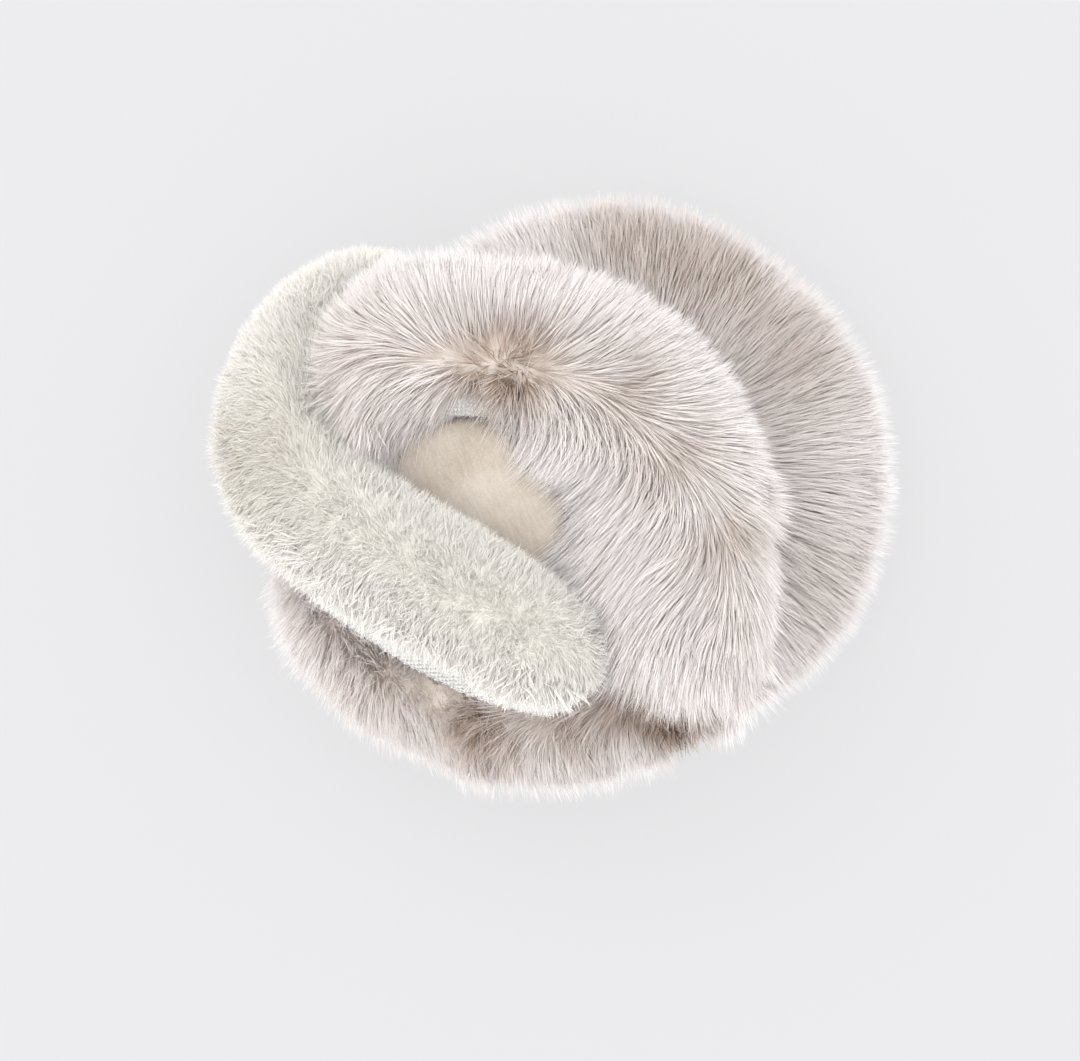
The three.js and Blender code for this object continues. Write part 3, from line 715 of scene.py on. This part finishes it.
BAND_GUIDES = [
    {"x": -52, "y": -26, "heading": 255, "reach": 11},
    {"x": -27, "y": -41, "heading": 262, "reach": 11},
    {"x": 1, "y": -49, "heading": 270, "reach": 10},
    {"x": -57, "y": 17, "heading": 75, "reach": 10},
    {"x": -34, "y": -1, "heading": 65, "reach": 10},
    {"x": -14, "y": -11, "heading": 65, "reach": 10},
    {"x": -80, "y": 25, "heading": 190, "reach": 12},
    {"x": -78, "y": -1, "heading": 235, "reach": 10},
    {"x": -67, "y": 37, "heading": 120, "reach": 10},
]
# Where short fur leaves the knit under it in view
KNIT_WINDOWS = [
    {"x": -20, "y": 28, "radius": 4, "strength": 1},
    {"x": -30, "y": -47, "radius": 9, "strength": 1},
]
# Where fur hangs further down the recess's wall
LONG_FUR = [
    {"x": -36, "y": 25, "radius": 8, "strength": 0.2},
    {"x": 3, "y": 18, "radius": 9, "strength": 0.3},
    {"x": 12, "y": -10, "radius": 9, "strength": 0.7},
]
# Painted shade: the band's left side, turned to the light, is darkened
BAND_LEFT_SIDE_SHADE = [
    {"x": -78, "y": 10, "radius": 20, "strength": 0.7},
]
HEM_WAY = np.array([-0.5, -0.87, 0])
OVERHANG = 0.8
MOST_ROOTS_AND_SHADE = 1.3
RIM_FROST = 0.14
FRONT_FROST_REACH = (9 * MM, 23 * MM)
BACK_FROST_REACH = (52 * MM, 68 * MM)
COMB_STRENGTH = 1.15
LAID_LIFT = 0.42
PARTING_LIFT = 0.25
MIDDLE_LIFT = 0.58
BAND_LIFT = 0.5
BACK_RUFFLE = 0.4
# How much of its length fur gains or loses at some places
INNER_GAIN = 0.2
HEM_GAIN = 0.7
RIM_TRIM = 0.26
ROOTS_AND_SHADE_TRIM = 0.15
WINDOW_TRIM = 0.6
# The underside's fur is shorter and thinner
UNDERSIDE = (0.2, 0.7)
UNDER_TRIM = 0.35
UNDER_THINNING = 0.75
BAND_SLOPE = (0.3, 0.8)
BAND_UNDER_TRIM = 0.5
BAND_UNDER_THINNING = 0.6
# Painted shade: how much darker the band's plush is where it faces down
BAND_UNDERSIDE_SHADE = 0.15
# The least share of length and cover that is left where fur has no room
FRONT_LEAST = 0.7
OTHERS_LEAST = 0.4


def eased(free, least):
    """A share that falls from 1 to least as fur loses its freedom."""
    return least + (1 - least) * free


def paint_front(skin):
    """The upper cup: fur parts round the ring, and hangs over the recess on its inner side."""
    points = coordinates(skin.data)
    normals = vertex_normals(skin.data)
    centre = middle_of("front_cup_lining")
    out = points[:, :2] - centre
    past = np.linalg.norm(out, axis=1) - round_ring(out, "radius") * MM
    level = np.column_stack([unit(out), np.zeros(len(points))])
    round_way = np.column_stack([-level[:, 1], level[:, 0], level[:, 2]])
    reach = np.where(past < 0, *SWEEP_REACH)
    sweep = round_ring(out, "sweep") * np.exp(-((past / reach) ** 2))
    way = level * np.clip(past / PARTING_HALF_WIDTH, -1, 1)[:, None] + round_way * sweep[:, None]
    way = guided(way, points, normals, FRONT_GUIDES)
    inner = ramp_up(-past, 0, PARTING_HALF_WIDTH)
    way = smoothed(skin, along_skin(way, normals, OVERHANG * inner), COMB_SMOOTHING)
    laid = np.linalg.norm(way, axis=1)
    under = ramp_up(-normals[:, 2], *UNDERSIDE) * (1 - inner)
    # Brown roots where pressed fur opens, and painted shade in the crease, the seam and the crevice
    roots_and_shade = np.clip(spots(points, FRONT_SPOTS), 0, MOST_ROOTS_AND_SHADE)
    window = np.clip(spots(points, KNIT_WINDOWS), 0, 1)
    frost = ramp_up(past, *FRONT_FROST_REACH)
    length = 1 + INNER_GAIN * inner + spots(points, LONG_FUR)
    length *= (1 - RIM_TRIM * frost) * (1 - ROOTS_AND_SHADE_TRIM * roots_and_shade)
    comb = COMB_STRENGTH * way
    lift = LAID_LIFT + PARTING_LIFT * (1 - ramp_up(laid, 0.1, 0.6))
    room = eased(freedom(points, comb + lift[:, None] * normals, [band_skin, back_skin]), FRONT_LEAST)
    paint(skin, comb=comb, lift=lift, ruffle=roots_and_shade,
          pile=length * (1 - UNDER_TRIM * under) * (1 - WINDOW_TRIM * window) * room,
          cover=(1 - UNDER_THINNING * under) * room, patch=roots_and_shade - RIM_FROST * frost)


def paint_back(skin):
    """The lower cup: fur lies outwards all round from its middle, with roots and painted shadow by the
    upper cup's edge.
    """
    points = coordinates(skin.data)
    normals = vertex_normals(skin.data)
    centre = middle_of("back_cup_fur")
    out = points[:, :2] - centre
    level = np.column_stack([unit(out), np.zeros(len(points))])
    way = level * ramp_up(np.linalg.norm(out, axis=1), 0, 2 * PARTING_HALF_WIDTH)[:, None]
    way = smoothed(skin, along_skin(way, normals, np.zeros(len(points))), COMB_SMOOTHING)
    laid = np.linalg.norm(way, axis=1)
    under = ramp_up(-normals[:, 2], *UNDERSIDE)
    # Roots at a parting, and painted shadow of the upper cup along its edge
    roots_and_shade = np.clip(spots(points, BACK_SPOTS), 0, 1)
    frost = ramp_up(np.linalg.norm(out, axis=1), *BACK_FROST_REACH)
    comb = COMB_STRENGTH * way
    lift = LAID_LIFT + MIDDLE_LIFT * (1 - ramp_up(laid, 0.1, 0.7))
    room = eased(freedom(points, comb + lift[:, None] * normals, [front_skin, band_skin]), OTHERS_LEAST)
    paint(skin, comb=comb, lift=lift, ruffle=BACK_RUFFLE * roots_and_shade,
          pile=(1 - RIM_TRIM * frost) * (1 - UNDER_TRIM * under) * room,
          cover=(1 - UNDER_THINNING * under) * room, patch=roots_and_shade - RIM_FROST * frost)


def paint_band(skin):
    """The band's plush leans away from its middle line, is shorter on the knit side, has painted shade
    below and left.
    """
    points = coordinates(skin.data)
    normals = vertex_normals(skin.data)
    way = normals * np.array([1, 1, 0])
    way = guided(way, points, normals, BAND_GUIDES)
    way = smoothed(skin, along_skin(way, normals, np.zeros(len(points))), 2 * COMB_SMOOTHING)
    under = ramp_up(-normals[:, 2], *BAND_SLOPE)
    window = np.clip(spots(points, KNIT_WINDOWS), 0, 1)
    room = eased(freedom(points, way + BAND_LIFT * normals, [front_skin, back_skin]), OTHERS_LEAST)
    hem = ramp_up(normals @ HEM_WAY, *BAND_SLOPE)
    # The band's patch tone is painted shade only: darker underneath and on its left side
    paint(skin, comb=way, lift=np.full(len(points), BAND_LIFT), ruffle=np.ones(len(points)),
          pile=(1 - BAND_UNDER_TRIM * under) * (1 + HEM_GAIN * hem) * (1 - WINDOW_TRIM * window) * room,
          cover=(1 - BAND_UNDER_THINNING * under) * room,
          patch=BAND_UNDERSIDE_SHADE * under + spots(points, BAND_LEFT_SIDE_SHADE))


paint_front(front_skin)
paint_back(back_skin)
paint_band(band_skin)
print("combed:", front_skin.name, back_skin.name, band_skin.name)

# %% [markdown]
# Each form gets two coats, as real fur has: a shorter one that hides the ground, and a longer one on top.
# They are kept as pieces of their own, so that none grows too large.

# %% Coats
COATS = [
    {"skin": front_skin, "tree": front_tree, "name": "front_cup_under_coat", "strand": under_strand,
     "density": 1.6e6, "length": 11.5 * MM, "lock_size": 3 * MM, "lock_pull": 0.06, "stray": 0.2,
     "wave": 0.45, "crimp": 6.0, "seed": 11},
    {"skin": front_skin, "tree": front_tree, "name": "front_cup_top_coat", "strand": long_strand,
     "density": 1.6e6, "length": 14 * MM, "lock_size": 3.5 * MM, "lock_pull": 0.07, "stray": 0.14,
     "wave": 0.45, "crimp": 6.0, "seed": 12},
    {"skin": back_skin, "tree": back_tree, "name": "back_cup_under_coat", "strand": under_strand,
     "density": 1.52e6, "length": 12 * MM, "lock_size": 3 * MM, "lock_pull": 0.06, "stray": 0.2,
     "wave": 0.45, "crimp": 6.0, "seed": 21},
    {"skin": back_skin, "tree": back_tree, "name": "back_cup_top_coat", "strand": long_strand,
     "density": 1.52e6, "length": 14.5 * MM, "lock_size": 3.5 * MM, "lock_pull": 0.07, "stray": 0.14,
     "wave": 0.45, "crimp": 6.0, "seed": 22},
    {"skin": band_skin, "tree": band_tree, "name": "headband_under_coat", "strand": plush_strand,
     "density": 3.2e6, "length": 4.5 * MM, "lock_size": 2 * MM, "lock_pull": 0.2, "stray": 0.4,
     "wave": 0.4, "crimp": 1.2, "seed": 31},
    {"skin": band_skin, "tree": band_tree, "name": "headband_top_coat", "strand": plush_strand,
     "density": 3.2e6, "length": 5.5 * MM, "lock_size": 2 * MM, "lock_pull": 0.25, "stray": 0.3,
     "wave": 0.4, "crimp": 1.2, "seed": 32},
]
coats = []
for row in COATS:
    sizes = {key: value for key, value in row.items() if key not in ("skin", "tree", "name")}
    coats.append(grow(row["skin"], row["tree"], row["name"], **sizes))
print("strands' faces in all:", sum(len(coat.data.polygons) for coat in coats))
for helper in (under_strand, long_strand, plush_strand):
    bpy.data.objects.remove(helper)

# %% [markdown]
# The linings are padded velour discs. Velour is a very short dense pile: it is smooth, shows the way it
# was last stroked as soft patches and fine streaks, and is lighter at its edges. Three noises and a sheen
# do that.

# %% Linings
STROKED_PATCH = 14 * MM
GRAIN = 0.45 * MM
STREAK_WIDTH = 0.8 * MM
STREAK_SQUEEZE = 0.2
STROKE_TURN = math.radians(-27)
BROAD_SHARE = 0.5
FINE_SHARE = 0.25
VELOUR_STOPS = [(0.38, "A69B8E"), (0.5, "B4AA9E"), (0.62, "BFB7AC")]


def velour_material():
    """Short beige pile with stroked patches."""
    material, nodes, links, shader = new_material("velour_lining", 0.85)
    where = nodes.new("ShaderNodeTexCoord")
    broad = nodes.new("ShaderNodeTexNoise")
    broad.inputs["Scale"].default_value = 1 / STROKED_PATCH
    broad.inputs["Detail"].default_value = 4
    grain = nodes.new("ShaderNodeTexNoise")
    grain.inputs["Scale"].default_value = 1 / GRAIN
    grain.inputs["Detail"].default_value = 2
    for texture in (broad, grain):
        links.new(where.outputs["Object"], texture.inputs["Vector"])
    turned = nodes.new("ShaderNodeMapping")
    turned.inputs["Rotation"].default_value = (0, 0, STROKE_TURN)
    links.new(where.outputs["Object"], turned.inputs["Vector"])
    stroke = nodes.new("ShaderNodeMapping")
    stroke.inputs["Scale"].default_value = (1, STREAK_SQUEEZE, 1)
    links.new(turned.outputs["Vector"], stroke.inputs["Vector"])
    streaks = nodes.new("ShaderNodeTexNoise")
    streaks.inputs["Scale"].default_value = 1 / STREAK_WIDTH
    streaks.inputs["Detail"].default_value = 2
    links.new(stroke.outputs["Vector"], streaks.inputs["Vector"])
    mixed = arithmetic(nodes, links, "MULTIPLY", broad.outputs["Fac"], BROAD_SHARE)
    for texture in (grain, streaks):
        mixed = arithmetic(nodes, links, "ADD", mixed, arithmetic(
            nodes, links, "MULTIPLY", texture.outputs["Fac"], FINE_SHARE))
    ramp = colour_ramp(nodes, VELOUR_STOPS)
    links.new(mixed, ramp.inputs["Fac"])
    links.new(ramp.outputs["Color"], shader.inputs["Base Color"])
    bump = nodes.new("ShaderNodeBump")
    bump.inputs["Strength"].default_value = 0.5
    bump.inputs["Distance"].default_value = 0.2 * MM
    links.new(grain.outputs["Fac"], bump.inputs["Height"])
    links.new(bump.outputs["Normal"], shader.inputs["Normal"])
    shader.inputs["Sheen Weight"].default_value = 0.4
    shader.inputs["Sheen Roughness"].default_value = 0.4
    return material


velour = velour_material()
front_lining = fabric_skin("front_cup_lining", "front_lining_pad", **LINING_SKIN)
back_lining = fabric_skin("back_cup_lining", "back_lining_pad", **LINING_SKIN)
for lining in (front_lining, back_lining):
    lining.data.materials.append(velour)

# %% [markdown]
# The white knit shows in two places: a strip at the top of the recess, and the edge of the band's backing.
# Each strip is its solid, remeshed into even rows, which rounds its edges as a folded knit's are. A raised
# purl stitch could be a bump, but its edge shows against the fur. So Geometry Nodes sets a small bead on
# each point of the strip, only where nothing lies straight above it.

# %% Knit
PURL_PITCH = 1.0 * MM
EDGE_SWELL = 0.5 * MM


def knit_material():
    """White knit, darker between its stitches."""
    material, nodes, links, shader = new_material("white_knit", 0.9)
    where = nodes.new("ShaderNodeTexCoord")
    cells = nodes.new("ShaderNodeTexVoronoi")
    cells.inputs["Randomness"].default_value = 0.0
    cells.inputs["Scale"].default_value = 1 / PURL_PITCH
    links.new(where.outputs["Object"], cells.inputs["Vector"])
    ramp = colour_ramp(nodes, [(0.25, "E2E1E0"), (0.6, "C4C2C0")])
    links.new(cells.outputs["Distance"], ramp.inputs["Fac"])
    links.new(ramp.outputs["Color"], shader.inputs["Base Color"])
    bump = nodes.new("ShaderNodeBump")
    bump.invert = True
    bump.inputs["Strength"].default_value = 0.6
    bump.inputs["Distance"].default_value = 0.25 * MM
    links.new(cells.outputs["Distance"], bump.inputs["Height"])
    links.new(bump.outputs["Normal"], shader.inputs["Normal"])
    return material


knit = knit_material()


def knit_strip(node, name, swell):
    """A knit strip in even rows, with rounded edges, made thicker by swell on each side."""
    rough = merged_copy(node, name + "_rough")
    remesh = rough.modifiers.new("rows", "REMESH")
    remesh.mode = "VOXEL"
    remesh.voxel_size = PURL_PITCH
    smooth = rough.modifiers.new("smooth", "SMOOTH")
    smooth.factor = 0.5
    smooth.iterations = 2
    strip = made_plain(rough, name)
    bpy.data.objects.remove(rough)
    set_coordinates(strip.data, coordinates(strip.data) + swell * vertex_normals(strip.data))
    strip.data.materials.append(knit)
    strip.data.polygons.foreach_set("use_smooth", [True] * len(strip.data.polygons))
    print(f"{name}: {len(strip.data.polygons)} faces")
    return strip


def mark_open(strip, covers):
    """Marks a strip's points that have nothing straight above them."""
    depsgraph = bpy.context.evaluated_depsgraph_get()
    trees = [BVHTree.FromObject(cover, depsgraph) for cover in covers]
    up = Vector((0, 0, 1))
    clear = [
        all(tree.ray_cast(vertex.co + up * PURL_PITCH, up)[0] is None for tree in trees)
        for vertex in strip.data.vertices]
    paint(strip, open=np.array(clear, dtype=np.float32))


def purl_bead():
    """One raised stitch: a flat bead with eight faces, one unit wide."""
    half_length, half_width, half_height = 0.5, 0.36, 0.3
    points = [(half_length, 0, 0), (0, half_width, 0), (-half_length, 0, 0), (0, -half_width, 0),
              (0, 0, half_height), (0, 0, -half_height)]
    faces = []
    for k in range(4):
        after = (k + 1) % 4
        faces.append((k, after, 4))
        faces.append((after, k, 5))
    mesh = bpy.data.meshes.new("purl_bead")
    mesh.from_pydata(points, [], faces)
    mesh.polygons.foreach_set("use_smooth", [True] * len(faces))
    bead = bpy.data.objects.new("purl_bead", mesh)
    bead.hide_render = True
    scene.collection.objects.link(bead)
    return bead


def purl_tree():
    """The tree that sets a bead on each open point of a strip. The bead and its size are inputs."""
    tree = bpy.data.node_groups.new("purl_stitches", "GeometryNodeTree")
    face = tree.interface
    face.new_socket("Geometry", in_out="INPUT", socket_type="NodeSocketGeometry")
    face.new_socket("Bead Size", in_out="INPUT", socket_type="NodeSocketFloat")
    face.new_socket("Bead", in_out="INPUT", socket_type="NodeSocketObject")
    face.new_socket("Geometry", in_out="OUTPUT", socket_type="NodeSocketGeometry")
    nodes, links = tree.nodes, tree.links
    given = nodes.new("NodeGroupInput").outputs
    shape = nodes.new("GeometryNodeObjectInfo")
    links.new(given["Bead"], shape.inputs["Object"])
    turn = nodes.new("FunctionNodeAxesToRotation")
    turn.primary_axis = "Z"
    turn.secondary_axis = "X"
    links.new(nodes.new("GeometryNodeInputNormal").outputs["Normal"], turn.inputs["Primary Axis"])
    turn.inputs["Secondary Axis"].default_value = (1, 0, 0)
    copies = nodes.new("GeometryNodeInstanceOnPoints")
    links.new(given["Geometry"], copies.inputs["Points"])
    links.new(arithmetic(nodes, links, "GREATER_THAN", named(nodes, "open", "FLOAT"), 0.5),
              copies.inputs["Selection"])
    links.new(shape.outputs["Geometry"], copies.inputs["Instance"])
    links.new(turn.outputs["Rotation"], copies.inputs["Rotation"])
    links.new(given["Bead Size"], copies.inputs["Scale"])
    real = nodes.new("GeometryNodeRealizeInstances")
    links.new(copies.outputs["Instances"], real.inputs["Geometry"])
    painted = nodes.new("GeometryNodeSetMaterial")
    painted.inputs["Material"].default_value = knit
    links.new(real.outputs["Geometry"], painted.inputs["Geometry"])
    links.new(painted.outputs["Geometry"], nodes.new("NodeGroupOutput").inputs["Geometry"])
    return tree


knit_edge = knit_strip("front_cup_knit_edge", "front_knit_edge", EDGE_SWELL)
knit_backing = knit_strip("headband_knit_backing", "band_knit_backing", 0.0)
mark_open(knit_edge, [band_skin, front_skin])
mark_open(knit_backing, [band_skin, front_skin])
bead = purl_bead()
stitches = purl_tree()
edge_purls = grow(knit_edge, stitches, "front_knit_purls", bead=bead, bead_size=PURL_PITCH)
backing_purls = grow(knit_backing, stitches, "band_knit_purls", bead=bead, bead_size=PURL_PITCH)
bpy.data.objects.remove(bead)

# %% [markdown]
# Last, every piece is tied to the body that it moves with, and the solid that it stands for is hidden. The
# table lists each piece with that solid and with its finish in the record.

# %% Tie to the frame
STANDS_FOR = [
    (front_skin, "front_cup_fur", "taupe_fur"),
    (back_skin, "back_cup_fur", "taupe_fur"),
    (band_skin, "headband_fur", "cream_fur"),
    (front_lining, "front_cup_lining", "velour_lining"),
    (back_lining, "back_cup_lining", "velour_lining"),
    (knit_edge, "front_cup_knit_edge", "white_knit"),
    (knit_backing, "headband_knit_backing", "white_knit"),
]
for piece, node, finish in STANDS_FOR:
    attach(piece, "root")
    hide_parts(node)
for coat in coats:
    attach(coat, "root")
for purls in (edge_purls, backing_purls):
    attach(purls, "root")
